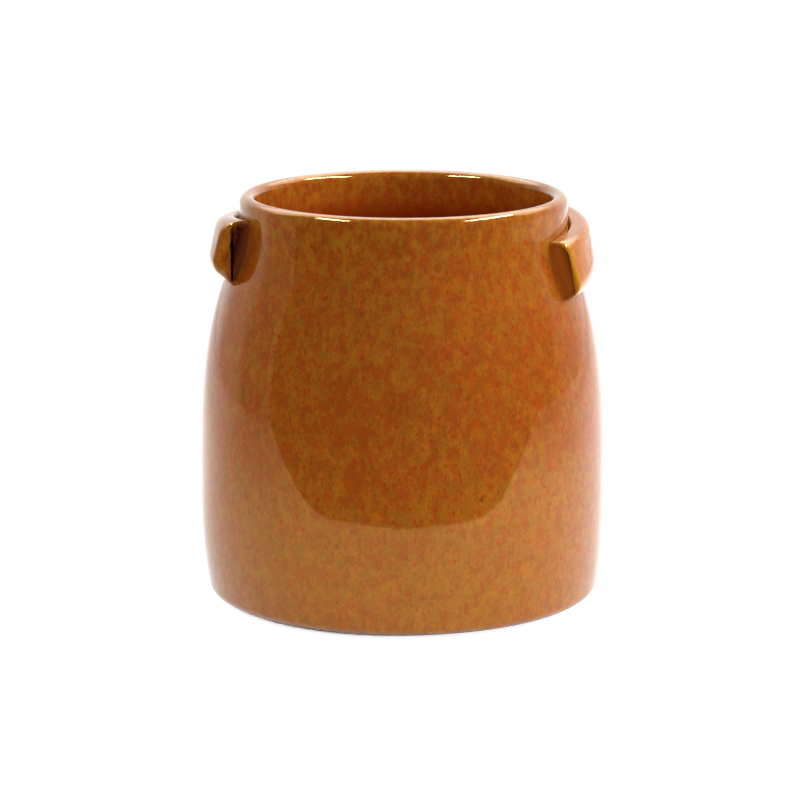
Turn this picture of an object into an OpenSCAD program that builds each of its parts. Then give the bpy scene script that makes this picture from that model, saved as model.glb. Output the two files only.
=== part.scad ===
// Glazed stoneware jar planter with two strap handles luted on to its shoulder.
// Millimetres, +Z up. The origin is the centre of the circle that the foot ring stands on.

/* [Jar] */
// Height from the floor to the crest of the rim
height = 276; // [240:1:360]
// Outside diameter at the belly
belly_d = 276.4; // [255:0.2:340]
// Height of the widest place on the belly
belly_z = 85; // [60:1:110]
// Outside diameter that the wall runs in to at floor level
base_d = 264.6; // [230:0.2:276]
// Fullness of the wall, where 2 is an even curve and more is a fuller belly
fullness = 2.75; // [2:0.05:4]
// Inside diameter of the mouth
mouth_d = 200; // [160:1:210]
// Thickness of the wall
wall_t = 11.2; // [8:0.2:14]
// Height of the neck and its hollow, from the shoulder to the crest of the rim
neck_h = 44; // [36:1:60]
// Radius of the hollow where the shoulder turns up into the neck
hollow_r = 66; // [20:1:80]

/* [Base] */
// Thickness of the floor inside the foot ring
floor_t = 10; // [7:0.5:16]
// Radius inside the jar where the wall meets the floor
inner_edge_r = 18; // [6:1:30]
// Radius of the glazed edge round the base
outer_edge_r = 7; // [3:0.5:12]
// Height of the glazed edge above the floor, which the bare foot ring fills
foot_h = 1.2; // [0.8:0.1:4]
// Depth of the underside inside the foot ring
recess_h = 3; // [1.5:0.5:6]
// Set-back of the foot ring from the start of the glazed edge
foot_inset = 3; // [1:0.5:8]
// Width of the foot ring
foot_w = 14; // [8:1:24]

/* [Handles] */
// How far a strap leans in from its bend to its top edge
strap_lean = 5.4; // [2:0.2:9]
// Radius of a strap's outer face, seen from above
strap_r = 163; // [140:1:180]
// Half of the angle that a strap spans round its own centre
strap_half_angle = 23.5; // [15:0.5:28]
// Thickness of the web that joins the top of a strap to the neck
strap_web_t = 1.8; // [1.6:0.2:4]
// Radius of a strap's top edge
strap_top_r = 6; // [1:0.5:7]
// Radius of a strap's lower bend
strap_bend_r = 12; // [6:0.5:16]
// Thickness of the foot that is turned in under the slot
strap_foot_t = 1.6; // [1.2:0.2:4]
// Depth of the groove between a strap and the neck
groove_d = 2.6; // [1.6:0.2:5]
// Angle by which the groove and the slip stop short of each end of the strap
groove_stop = 3; // [1:0.5:8]
// How far the bottom of the groove stands out from the neck
groove_out = 4; // [2:0.5:6]
// Width of the groove at its top
groove_w = 2; // [1:0.2:4]
// Height of the slip that is smoothed up the neck from the groove
slip_h = 4; // [3:0.5:8]
// How far the toe of the slip stands out from the neck
slip_out = 3.2; // [1.5:0.1:3.8]

/* [Right handle] */
// Direction of the right handle from the axis
right_azimuth = 0; // [-10:1:10]
// Depth of the foot of its strap below the crest of the rim
right_foot_drop = 60; // [56:1:80]
// Depth of its lower bend below the crest of the rim
right_bend_drop = 49; // [42:0.5:54]
// Depth of its top edge below the crest of the rim
right_top_drop = 20; // [18:0.5:28]
// How far its lower bend stands out from the wall at that height
right_out = 13.2; // [10:0.2:19]
// Tilt of its lower bend, front end down
right_bend_tilt = 6; // [-8:0.1:8]
// Tilt of its top edge, front end down
right_top_tilt = 3.3; // [-8:0.1:8]
// Thickness of its strap
right_t = 4.6; // [4:0.2:8]
// Outward shift of the centre of its slot, which thickens the ends of the strap
right_slot_shift = 0; // [0:1:40]
// Slant of the slot behind it, from upright
right_slant = 9; // [0:1:14]

/* [Left handle] */
// Direction of the left handle from the axis
left_azimuth = 173; // [170:1:190]
// Depth of the foot of its strap below the crest of the rim
left_foot_drop = 56.5; // [55:0.5:76]
// Depth of its lower bend below the crest of the rim
left_bend_drop = 46.5; // [38:0.5:50]
// Depth of its top edge below the crest of the rim
left_top_drop = 15.5; // [15:0.5:26]
// How far its lower bend stands out from the wall at that height
left_out = 13; // [10:0.2:19]
// Tilt of its lower bend, front end up
left_bend_tilt = 5; // [-8:0.1:8]
// Tilt of its top edge, front end up
left_top_tilt = 3.6; // [-8:0.1:8]
// Thickness of its strap
left_t = 7; // [4:0.2:8]
// Outward shift of the centre of its slot, which thickens the ends of the strap
left_slot_shift = 33; // [0:1:40]
// Slant of the slot behind it, from upright
left_slant = 0; // [0:1:10]

/* [Hidden] */
$fn = 96;
// Points along each stretch of an outline
wall_steps = 14;
arc_steps = 6;
// Radii of the upper and lower corners of the slot behind a strap
roof_r = 5;
sill_r = 1.5;
// How far the forms of a strap are drawn into the wall, and past its ends, before they are cut
root_bury = 12;
end_spare = 6;
// Angle to each side through which a slot is cut, well past the ends of its strap
slot_span = 60;
// How far the side of the groove and the slope of the slip are drawn on, in multiples of their own length
groove_over = 2;
slip_over = 1.5;
// Steepest lean of the shoulder that is tried, and how often the range is halved
steepest = 80;
lean_tries = 24;
glaze = [0.68, 0.4, 0.12];

belly_r = belly_d / 2;
mouth_r = mouth_d / 2;
neck_r = mouth_r + wall_t;
shoulder_z = height - neck_h;
shoulder_span = shoulder_z - belly_z;
base_in = belly_r - base_d / 2;

// Angle from upright at which the shoulder runs tangent into the hollow, found by halving
function shoulder_lean(low = 0, high = steepest, tries = lean_tries) =
    let (mid = (low + high) / 2,
         reach = tan(mid) * shoulder_span / fullness + hollow_r * (1 - cos(mid)))
    tries == 0 ? mid
    : reach < belly_r - neck_r ? shoulder_lean(mid, high, tries - 1)
    : shoulder_lean(low, mid, tries - 1);

lean = shoulder_lean();
shoulder_in = tan(lean) * shoulder_span / fullness;
neck_z = shoulder_z + hollow_r * sin(lean);

// Outside radius of the wall from the base to the shoulder
function wall_r(z) =
    z < belly_z
    ? belly_r - base_in * pow((belly_z - z) / belly_z, fullness)
    : belly_r - shoulder_in * pow((z - belly_z) / shoulder_span, fullness);

// Angle from upright of the wall below the belly
function flare(z) = atan(base_in * fullness / belly_z * pow((belly_z - z) / belly_z, fullness - 1));

// Points of an arc
function arc(centre, r, from, to, steps = arc_steps) =
    [for (i = [0:steps]) let (a = from + (to - from) * i / steps) centre + r * [cos(a), sin(a)]];

// Side of the jar set in by t: rounded edge, belly, shoulder, hollow, up to the start of the neck
function side(t, floor_z, edge_r) =
    let (tip = flare(floor_z + edge_r),
         edge_z = floor_z + edge_r * (1 - sin(tip)),
         centre = [wall_r(edge_z) - t - edge_r * cos(tip), floor_z + edge_r])
    concat(
        arc(centre, edge_r, -90, -tip),
        [for (i = [1:wall_steps]) let (z = edge_z + (belly_z - edge_z) * i / wall_steps) [wall_r(z) - t, z]],
        [for (i = [1:wall_steps]) let (z = belly_z + shoulder_span * i / wall_steps) [wall_r(z) - t, z]],
        arc([neck_r - t + hollow_r, neck_z], hollow_r, 180 + lean, 180));

outside = side(0, foot_h, outer_edge_r);
inside = side(wall_t, recess_h + floor_t, inner_edge_r);
foot_r = outside[0][0] - foot_inset;

// An outline corner [x, y, radius] between its neighbours, drawn as an arc
function unit(v) = v / norm(v);
function rounded(before, corner, after) =
    let (at = [corner[0], corner[1]],
         a = unit([before[0], before[1]] - at),
         b = unit([after[0], after[1]] - at),
         half = acos(a * b) / 2,
         centre = at + unit(a + b) * corner[2] / sin(half),
         start = at + a * corner[2] / tan(half) - centre,
         end = at + b * corner[2] / tan(half) - centre,
         from = atan2(start[1], start[0]),
         turn = atan2(start[0] * end[1] - start[1] * end[0], start * end))
    arc(centre, corner[2], from, from + turn);

module outer_form() {
    rotate_extrude() polygon(concat([[0, foot_h]], outside, [[neck_r, height], [0, height]]));
}

module jar_body() {
    rim = [mouth_r + wall_t / 2, height - wall_t / 2];
    color(glaze)
        rotate_extrude()
            polygon(concat(
                [[0, recess_h], [foot_r - foot_w, recess_h]],
                [[foot_r - foot_w, 0], [foot_r, 0], [foot_r, foot_h]],
                outside,
                arc(rim, wall_t / 2, 0, 180, 2 * arc_steps),
                [for (i = [len(inside) - 1:-1:0]) inside[i]],
                [[0, recess_h + floor_t]]));
}

// Where line p, d meets line q, e
function meet(p, d, q, e) = p + d * cross(q - p, e) / cross(d, e);

// Outside radius of the jar at any height above the belly
function jar_r(z) =
    z < shoulder_z ? wall_r(z)
    : z < neck_z ? neck_r + hollow_r - sqrt(pow(hollow_r, 2) - pow(neck_z - z, 2))
    : neck_r;

// A form turned round an upright axis at -axis, through span to each side of the radius that it is
// tilted about, at a level
module turned(axis, level, tilt, span) {
    translate([0, 0, level])
        rotate([tilt, 0, 0])
            translate([-axis, 0, -level])
                rotate([0, 0, -span])
                    rotate_extrude(angle = 2 * span)
                        children();
}

// Strap joined to the wall at its top and its foot, with the slot open behind it from end to end
module strap(foot_drop, bend_drop, top_drop, bend_tilt, top_tilt, out, t, slot_shift, slant) {
    foot_z = height - foot_drop;
    bend_z = height - bend_drop;
    top_z = height - top_drop;
    axis = strap_r - jar_r(bend_z) - out;
    neck_q = neck_r + axis;
    root_q = neck_q - root_bury;
    span = strap_half_angle + end_spare;
    foot = [jar_r(foot_z) + axis, foot_z];
    bend = [strap_r, bend_z];
    top = [strap_r - strap_lean, top_z];
    down = unit(foot - bend);
    root = foot + down * root_bury;
    low_z = root[1] - root_bury;
    clear_z = top_z + root_bury;
    groove = [neck_q + groove_out, top_z - groove_d];
    toe = [neck_r + slip_out, groove[1]];
    face = [strap_r - t, bend_z];
    rise = [-sin(slant), cos(slant)];
    inside = strap_foot_t * [down[1], -down[0]];
    roof = meet(face, rise, [0, groove[1] - strap_web_t], [1, 0]);
    sill = meet(face, rise, foot + inside, down);

    intersection() {
        turned(axis, top_z, 0, strap_half_angle)
            translate([root_q, low_z])
                square([strap_r, height]);
        difference() {
            intersection() {
                // Leaning face and rounded top edge
                turned(axis, top_z, top_tilt, span)
                    polygon(concat(
                        [[root_q, low_z], meet(bend, top - bend, [0, low_z], [1, 0])],
                        rounded(bend, [top[0], top[1], strap_top_r], [root_q, top_z]),
                        [[root_q, top_z]]));
                // Foot and lower bend
                turned(axis, bend_z, bend_tilt, span)
                    polygon(concat(
                        [[root_q, root[1]], root],
                        rounded(root, [bend[0], bend[1], strap_bend_r], [strap_r, clear_z]),
                        [[strap_r, clear_z], [root_q, clear_z]]));
            }
            // Slot
            turned(axis - slot_shift, bend_z, (bend_tilt + top_tilt) / 2, slot_span)
                translate([-slot_shift, 0])
                    polygon(concat(
                        [[root_q, roof[1]]],
                        rounded([root_q, roof[1]], [roof[0], roof[1], roof_r], sill),
                        rounded(roof, [sill[0], sill[1], sill_r], root + inside),
                        [root + inside]));
            // Groove
            turned(axis, top_z, top_tilt, strap_half_angle - groove_stop)
                polygon([
                    [root_q, groove[1]],
                    groove,
                    groove + groove_over * [groove_w, groove_d],
                    [groove[0] + groove_over * groove_w, clear_z],
                    [root_q, clear_z]]);
        }
    }
    // Slip smoothed up the neck, as long as the groove
    turned(0, top_z, top_tilt, strap_half_angle + asin(axis * sin(strap_half_angle) / neck_r) - groove_stop)
        polygon([
            [neck_r - root_bury, groove[1] - strap_web_t / 2],
            [toe[0], groove[1] - strap_web_t / 2],
            toe,
            toe + slip_over * [-slip_out, slip_h],
            [neck_r - root_bury, groove[1]]]);
}

module handle_right() {
    color(glaze)
        difference() {
            rotate([0, 0, right_azimuth])
                strap(right_foot_drop, right_bend_drop, right_top_drop, right_bend_tilt, right_top_tilt,
                    right_out, right_t, right_slot_shift, right_slant);
            outer_form();
        }
}

module handle_left() {
    color(glaze)
        difference() {
            rotate([0, 0, left_azimuth])
                strap(left_foot_drop, left_bend_drop, left_top_drop, left_bend_tilt, left_top_tilt,
                    left_out, left_t, left_slot_shift, left_slant);
            outer_form();
        }
}

jar_body();
handle_right();
handle_left();
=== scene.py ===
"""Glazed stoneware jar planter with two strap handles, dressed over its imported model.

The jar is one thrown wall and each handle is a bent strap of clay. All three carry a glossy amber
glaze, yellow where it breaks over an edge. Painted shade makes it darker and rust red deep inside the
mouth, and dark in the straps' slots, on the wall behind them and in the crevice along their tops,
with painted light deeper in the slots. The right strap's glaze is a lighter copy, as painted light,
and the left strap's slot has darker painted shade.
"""

import logging
import math
from dataclasses import dataclass, field
from enum import Enum, auto
from typing import Sequence

import bmesh
import bpy
from mathutils import Matrix, Vector


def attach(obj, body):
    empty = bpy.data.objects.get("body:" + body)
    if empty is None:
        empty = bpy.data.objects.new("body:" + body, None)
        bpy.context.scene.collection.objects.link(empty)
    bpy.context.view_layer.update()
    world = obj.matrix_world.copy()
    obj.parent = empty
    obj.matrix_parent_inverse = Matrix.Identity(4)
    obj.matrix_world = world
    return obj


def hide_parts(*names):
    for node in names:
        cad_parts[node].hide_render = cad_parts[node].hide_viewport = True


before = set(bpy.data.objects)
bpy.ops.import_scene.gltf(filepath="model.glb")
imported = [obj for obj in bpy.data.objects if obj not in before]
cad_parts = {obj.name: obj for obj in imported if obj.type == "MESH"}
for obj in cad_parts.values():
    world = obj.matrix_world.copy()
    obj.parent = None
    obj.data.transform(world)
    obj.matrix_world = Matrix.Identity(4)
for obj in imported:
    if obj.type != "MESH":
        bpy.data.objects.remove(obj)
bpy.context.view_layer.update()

log = logging.getLogger("jar_planter")

MM = 0.001
MERGE_MM = 0.002
Colour = tuple[float, float, float, float]
Pair = tuple[float, float]
Band = tuple[float, float, float]
Profile = list[Pair]
Socket = bpy.types.NodeSocket


class Slot(Enum):
    """The record's material slots."""

    JAR = "jar_glaze"
    RIGHT = "handle_right_glaze"
    LEFT = "handle_left_glaze"


class Corner(Enum):
    """Corners of a strap's section, in order round it."""

    ROOT = auto()
    BEND = auto()
    TOP = auto()
    LIP = auto()
    CREVICE = auto()
    SLIP = auto()
    TUCK = auto()
    ROOF_TUCK = auto()
    COVE = auto()
    ROOF = auto()
    SILL = auto()
    POOL = auto()
    SEAT = auto()


ROUND = list(Corner)
CREVICE_CORNERS = {Corner.CREVICE, Corner.SLIP, Corner.TUCK}
WEB_CORNERS = {Corner.ROOF_TUCK, Corner.COVE}
SLOT_CORNERS = {Corner.ROOF_TUCK, Corner.COVE, Corner.ROOF, Corner.SILL, Corner.POOL, Corner.SEAT}


# Profiles and points


def arc(centre: Vector, radius: float, start: float, end: float, steps: int) -> Profile:
    """Points of an arc.

    Args:
        centre: Centre of the arc.
        radius: Its radius.
        start: Angle of its first point, in degrees.
        end: Angle of its last point, in degrees.
        steps: Number of stretches it is drawn with.

    Returns:
        The points as pairs.
    """
    angles = [math.radians(start + (end - start) * i / steps) for i in range(steps + 1)]
    return [(centre.x + radius * math.cos(a), centre.y + radius * math.sin(a)) for a in angles]


def meet(p: Vector, d: Vector, q: Vector, e: Vector) -> Vector:
    """Where two lines cross.

    Args:
        p: A point of the first line.
        d: The first line's direction.
        q: A point of the second line.
        e: The second line's direction.

    Returns:
        The point that they share.
    """
    turn = d.x * e.y - d.y * e.x
    return p + d * (((q - p).x * e.y - (q - p).y * e.x) / turn)


def fillet(before: Vector, at: Vector, after: Vector, radius: float, steps: int) -> list[Vector]:
    """Points of the arc that rounds a corner.

    Args:
        before: The corner before it.
        at: The corner.
        after: The corner after it.
        radius: Radius of the arc.
        steps: Number of stretches it is drawn with.

    Returns:
        The points, from the side of the corner before it to the side of the one after it.
    """
    back, forth = (before - at).normalized(), (after - at).normalized()
    half = math.acos(max(-1.0, min(1.0, back.dot(forth)))) / 2
    centre = at + (back + forth).normalized() * radius / math.sin(half)
    start = at + back * radius / math.tan(half) - centre
    turn = (math.pi - 2 * half) * (1 if back.x * forth.y - back.y * forth.x < 0 else -1)
    return [centre + Matrix.Rotation(turn * i / steps, 2) @ start for i in range(steps + 1)]


def smooth(value: float, low: float, high: float) -> float:
    """A soft step from 0 at low to 1 at high."""
    t = min(1.0, max(0.0, (value - low) / (high - low)))
    return t * t * (3 - 2 * t)


# Objects


def add_object(name: str, data: bpy.types.ID) -> bpy.types.Object:
    """Adds an object to the scene.

    Args:
        name: The object's name.
        data: Its mesh, lamp or camera.

    Returns:
        The new object.
    """
    thing = bpy.data.objects.new(name, data)
    bpy.context.scene.collection.objects.link(thing)
    return thing


def finish_piece(
    name: str, shell: bmesh.types.BMesh, material: bpy.types.Material
) -> bpy.types.Object:
    """Turns a finished shell into a piece that rides on the part.

    Args:
        name: Name of the CAD node that the piece stands for.
        shell: The shell, in millimetres. It is freed.
        material: The piece's material.

    Returns:
        The new object.
    """
    bmesh.ops.remove_doubles(shell, verts=shell.verts, dist=MERGE_MM)
    bmesh.ops.recalc_face_normals(shell, faces=shell.faces)
    bmesh.ops.scale(shell, vec=(MM, MM, MM), verts=shell.verts)
    for face in shell.faces:
        face.smooth = True
    mesh = bpy.data.meshes.new(name)
    shell.to_mesh(mesh)
    shell.free()
    mesh.materials.append(material)
    piece = add_object(f"{name}_glazed", mesh)
    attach(piece, "root")
    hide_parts(name)
    log.info("%s: %d vertices, %d faces", piece.name, len(mesh.vertices), len(mesh.polygons))
    return piece


@dataclass(frozen=True)
class JarWall:
    """The thrown jar: foot ring, full belly, shoulder, hollow, neck and full-round lip.

    Sizes are in mm. The sways are how far the hand-thrown mouth and base stand to the right of the
    belly's axis, and over which heights that grows.
    """

    height: float = 276.0
    belly_r: float = 138.2
    belly_z: float = 85.0
    base_in: float = 5.9
    fullness: float = 2.75
    mouth_r: float = 100.0
    wall_t: float = 11.2
    neck_h: float = 44.0
    hollow_r: float = 66.0
    floor_t: float = 10.0
    inner_edge_r: float = 18.0
    outer_edge_r: float = 9.0
    edge_spread: float = 1.42
    foot_h: float = 1.0
    recess_h: float = 3.0
    foot_inset: float = 3.0
    foot_w: float = 14.0
    # Depths below the rim at which the painted shade inside the mouth starts and is full.
    inside_shading: Pair = (7.0, 38.0)
    mouth_sway: float = 1.1
    mouth_sway_z: Pair = (202.0, 256.0)
    base_sway: float = 0.8
    base_sway_z: Pair = (60.0, 5.0)
    turns: int = 288

    @property
    def neck_r(self) -> float:
        """Outside radius of the neck."""
        return self.mouth_r + self.wall_t

    @property
    def shoulder_z(self) -> float:
        """Height at which the shoulder runs into the hollow below the neck."""
        return self.height - self.neck_h

    @property
    def shoulder_span(self) -> float:
        """Height of the shoulder above the belly."""
        return self.shoulder_z - self.belly_z

    @property
    def lean(self) -> float:
        """Angle from upright, in radians, at which the shoulder is tangent to the hollow."""
        low, high = 0.0, math.radians(80)
        for _ in range(30):
            mid = (low + high) / 2
            reach = math.tan(mid) * self.shoulder_span / self.fullness + self.hollow_r * (1 - math.cos(mid))
            low, high = (mid, high) if reach < self.belly_r - self.neck_r else (low, mid)
        return low

    @property
    def neck_z(self) -> float:
        """Height at which the hollow ends and the upright neck begins."""
        return self.shoulder_z + self.hollow_r * math.sin(self.lean)

    def wall_r(self, z: float) -> float:
        """Outside radius of the wall.

        Args:
            z: Height above the ground.

        Returns:
            The radius at that height.
        """
        if z < self.belly_z:
            return self.belly_r - self.base_in * ((self.belly_z - z) / self.belly_z) ** self.fullness
        if z < self.shoulder_z:
            in_by = math.tan(self.lean) * self.shoulder_span / self.fullness
            return self.belly_r - in_by * ((z - self.belly_z) / self.shoulder_span) ** self.fullness
        if z < self.neck_z:
            rise = self.neck_z - z
            return self.neck_r + self.hollow_r - math.sqrt(self.hollow_r**2 - rise**2)
        return self.neck_r

    def sway(self, z: float) -> float:
        """How far the wall stands to the right of the axis at a height."""
        mouth = self.mouth_sway * smooth(z, *self.mouth_sway_z)
        return mouth + self.base_sway * smooth(z, *self.base_sway_z)

    def side(self, inset: float, floor_z: float, edge_r: float) -> Profile:
        """One face of the wall, from the floor up to the start of the neck.

        Its lowest edge is round where it leaves the wall and spreads inward toward the floor.

        Args:
            inset: How far the face lies inside the outer one.
            floor_z: Height that the face rises from.
            edge_r: Radius of its lowest edge.

        Returns:
            The profile from the bottom up.
        """
        tip_z = floor_z + edge_r
        steep = self.base_in * self.fullness / self.belly_z
        above = (self.belly_z - tip_z) / self.belly_z
        tip = math.degrees(math.atan(steep * above ** (self.fullness - 1)))
        edge_z = floor_z + edge_r * (1 - math.sin(math.radians(tip)))
        centre = Vector((self.wall_r(edge_z) - inset - edge_r * math.cos(math.radians(tip)), tip_z))
        edge_x = self.wall_r(edge_z) - inset
        points = []
        edge_steps, steps = 14, 84
        for x, z in arc(centre, edge_r, -90, -tip, edge_steps):
            spread = 1 + (self.edge_spread - 1) * smooth(z, tip_z, floor_z)
            points.append((edge_x - (edge_x - x) * spread, z))
        for i in range(1, steps + 1):
            z = edge_z + (self.neck_z - edge_z) * i / steps
            points.append((self.wall_r(z) - inset, z))
        return points

    def profile(self) -> Profile:
        """The whole section of the jar, from the centre of its underside to the centre of its floor."""
        outside = self.side(0, self.foot_h, self.outer_edge_r)
        inside = self.side(self.wall_t, self.recess_h + self.floor_t, self.inner_edge_r)
        foot_r = outside[0][0] - self.foot_inset
        inner_r = foot_r - self.foot_w
        soft = 0.5
        underside = [(inner_r * share, self.recess_h) for share in (0, 0.35, 0.7, 0.97)]
        foot = [
            (inner_r, self.recess_h),
            (inner_r, soft),
            (inner_r + soft, 0),
            (inner_r + self.foot_w / 2, 0),
            (foot_r - soft, 0),
            (foot_r, soft),
            (foot_r, self.foot_h),
        ]
        rim_z = self.height - self.wall_t / 2
        rim = arc(Vector((self.mouth_r + self.wall_t / 2, rim_z)), self.wall_t / 2, 0, 180, 24)
        neck = [(self.neck_r, self.neck_z + (rim_z - self.neck_z) * i / 5) for i in range(1, 5)]
        throat = [(self.mouth_r, z) for _, z in reversed(neck)]
        inner_floor_r = inside[0][0]
        floor = [(inner_floor_r * share, self.recess_h + self.floor_t) for share in (0.96, 0.7, 0.35, 0)]
        return underside + foot + outside + neck + rim + throat + inside[::-1] + floor

    def build(self, material: bpy.types.Material) -> bpy.types.Object:
        """Turns the section round the axis.

        Args:
            material: The glaze.

        Returns:
            The finished piece.
        """
        shell = bmesh.new()
        # Inside the mouth each point gets a share of painted shade, which grows deeper down.
        shaded_inside = shell.verts.layers.float.new("shaded_inside")
        verts = []
        past_rim = False
        for r, z in self.profile():
            vert = shell.verts.new((r, 0, z))
            past_rim = past_rim or z > self.height - 0.01
            vert[shaded_inside] = smooth(self.height - z, *self.inside_shading) if past_rim else 0.0
            verts.append(vert)
        edges = [shell.edges.new(pair) for pair in zip(verts, verts[1:])]
        bmesh.ops.spin(
            shell,
            geom=verts + edges,
            cent=(0, 0, 0),
            axis=(0, 0, 1),
            angle=2 * math.pi,
            steps=self.turns,
            use_merge=True,
        )
        for vert in shell.verts:
            vert.co.x += self.sway(vert.co.z)
        return finish_piece("jar_body", shell, material)


@dataclass(frozen=True)
class Strap:
    """A strap of clay bent round the shoulder and luted on at its foot and its top. Sizes in mm.

    A section lies on an upright plane through the strap's own axis. A pair of sizes gives the one at
    the middle and the one at the ends. The tilts are of the foot, the lower bend and the top edge, in
    degrees along the strap. The end depths are how far its rounding goes in at the outer face, the
    lower bend, the foot and the top. The last four fields say how far in from the ends the glaze
    thickens, on the outside and in the slot, how far in the slot's painted shade sets in, and how far
    in that turns to painted light.
    """

    node: str
    slot: Slot
    azimuth: float
    foot_z: float
    bend_z: float
    top_z: float
    out: float
    tilts: tuple[float, float, float]
    lean_in: Pair
    thickness: Pair
    slant: Pair
    bend_round: Pair
    roof_round: Pair
    foot_t: Pair
    pool: Pair
    end_depths: tuple[float, float, float, float]
    end_round: float
    end_thin: float = 1.0
    wall: JarWall = field(default_factory=JarWall)
    radius: float = 163.0
    half_angle: float = 23.5
    top_round: Pair = (6.0, 9.0)
    lip_round: float = 1.1
    crevice_round: float = 0.7
    cove_round: float = 2.5
    sill_round: float = 3.5
    pool_round: float = 1.5
    web_t: float = 1.2
    crevice_d: Pair = (6.5, 0.5)
    crevice_out: float = 0.4
    crevice_w: float = 2.4
    slip_h: float = 1.0
    cove: float = 2.5
    bury: float = 3.0
    rim_round: float = 0.9
    rim_depth: float = 0.4
    steps: int = 44
    end_steps: int = 8
    arc_steps: int = 8
    thick_in: Pair = (1.0, 6.0)
    slot_thick_in: Pair = (0.1, 1.2)
    # Where the slot's painted shade sets in, and where it turns to painted light deeper in.
    slot_in: Pair = (0.1, 0.9)
    deep_in: Pair = (0.0, 9.0)

    @property
    def axis(self) -> float:
        """Distance of the strap's own axis behind the jar's."""
        return self.radius - self.wall.neck_r - self.out

    def at(self, angle: float, pair: Pair, power: int = 2) -> float:
        """A size at a section.

        Args:
            angle: Angle of the section round the strap's own axis, in radians.
            pair: The size at the middle and at the ends.
            power: How late it changes.

        Returns:
            The size.
        """
        along = abs(math.degrees(angle) / self.half_angle) ** power
        return pair[0] + (pair[1] - pair[0]) * along

    def rounds(self, angle: float) -> dict[Corner, float]:
        """Radius that each rounded corner of a section has."""
        turned_in = self.end_depths[0] * self.rounding(angle, self.end_round)
        return {
            Corner.BEND: self.at(angle, self.bend_round) - turned_in,
            Corner.TOP: self.at(angle, self.top_round) - turned_in,
            Corner.LIP: self.lip_round,
            Corner.CREVICE: self.crevice_round,
            Corner.COVE: self.cove_round,
            Corner.ROOF: self.at(angle, self.roof_round),
            Corner.SILL: self.sill_round,
            Corner.POOL: self.pool_round,
        }

    def wall_q(self, angle: float, z: float) -> float:
        """Distance of the jar's surface from the strap's own axis.

        Args:
            angle: Angle round that axis, in radians.
            z: Height above the ground.

        Returns:
            The distance.
        """
        across = self.axis * math.sin(angle)
        return self.axis * math.cos(angle) + math.sqrt(self.wall.wall_r(z) ** 2 - across**2)

    def from_end(self, angle: float) -> float:
        """Distance of a section from the nearer end of the strap."""
        return (math.radians(self.half_angle) - abs(angle)) * self.radius

    def rounding(self, angle: float, radius: float) -> float:
        """How far a rounded end has turned in at a section.

        Args:
            angle: Angle of the section round the strap's own axis, in radians.
            radius: Radius of the rounding.

        Returns:
            A share that is 0 along the strap and 1 at its very end.
        """
        share = max(0.0, 1 - self.from_end(angle) / radius)
        return 1 - math.sqrt(max(0.0, 1 - share**2))

    def levels(self, angle: float) -> list[float]:
        """Heights of the foot, the lower bend and the top edge at a section."""
        rise = self.radius * math.sin(angle)
        heights = (self.foot_z, self.bend_z, self.top_z)
        return [z + rise * math.tan(math.radians(tilt)) for z, tilt in zip(heights, self.tilts)]

    def corners(self, angle: float) -> dict[Corner, Vector]:
        """Corners of the strap's section.

        Args:
            angle: Angle of the section round the strap's own axis, in radians.

        Returns:
            Each corner's distance from the axis and height.
        """
        foot_z, bend_z, top_z = self.levels(angle)
        turned_in = self.rounding(angle, self.end_round)
        outer, under, lower, upper = (depth * turned_in for depth in self.end_depths)
        rim = self.rim_depth * self.rounding(angle, self.rim_round)
        level = Vector((1, 0))

        foot = Vector((self.wall_q(angle, foot_z), foot_z))
        bend = Vector((self.radius, bend_z))
        down = (foot - bend).normalized()
        up = (Vector((self.radius - self.at(angle, self.lean_in), top_z)) - bend).normalized()
        within = Vector((down.y, -down.x))
        outside = bend + outer * Vector((-up.y, up.x))

        crevice_d = self.at(angle, self.crevice_d, 4)
        crevice_z = top_z - upper - crevice_d
        crevice = Vector((self.wall_q(angle, crevice_z) + self.crevice_out, crevice_z))
        slip_z = crevice_z + self.slip_h
        wall_q = self.wall_q(angle, slip_z)

        roof = Vector((0, top_z - crevice_d - self.web_t + rim / 2))
        slant = math.radians(self.at(angle, self.slant))
        upward = Vector((-math.sin(slant), math.cos(slant)))
        face = Vector((self.radius - self.at(angle, self.thickness) + rim, bend_z))
        sill = foot + (self.at(angle, self.foot_t) - rim / 2) * within
        pool = sill + down * ((self.at(angle, self.pool) - (sill - foot).x) / down.x)
        return {
            Corner.ROOT: foot + lower * within + down * self.bury,
            Corner.BEND: meet(foot + under * within, down, outside, up),
            Corner.TOP: meet(outside, up, Vector((0, top_z - upper)), level),
            Corner.LIP: Vector((crevice.x + self.crevice_w, top_z - upper)),
            Corner.CREVICE: crevice,
            Corner.SLIP: Vector((wall_q - 0.1, slip_z)),
            Corner.TUCK: Vector((wall_q - self.bury, slip_z)),
            Corner.ROOF_TUCK: Vector((wall_q - self.bury, roof.y - self.cove)),
            Corner.COVE: Vector((self.wall_q(angle, roof.y) + self.cove, roof.y)),
            Corner.ROOF: meet(face, upward, roof, level),
            Corner.SILL: meet(face, upward, sill, down),
            Corner.POOL: pool,
            Corner.SEAT: Vector((foot.x - self.bury, pool.y)),
        }

    def place(self, point: Vector, angle: float) -> Vector:
        """A point of a section, set in the jar's own frame before the strap is turned to its place."""
        return Vector((point.x * math.cos(angle) - self.axis, point.x * math.sin(angle), point.y))

    def stations(self) -> list[float]:
        """Angles of the sections, which stand close together where the ends are rounded."""
        half = math.radians(self.half_angle)
        turns = [math.pi / 2 * i / self.end_steps for i in range(self.end_steps + 1)]
        end = [half - self.end_round * (1 - math.sin(turn)) / self.radius for turn in turns]
        middle = [end[0] * (2 * i / self.steps - 1) for i in range(1, self.steps)]
        return [-angle for angle in reversed(end)] + middle + end

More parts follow.
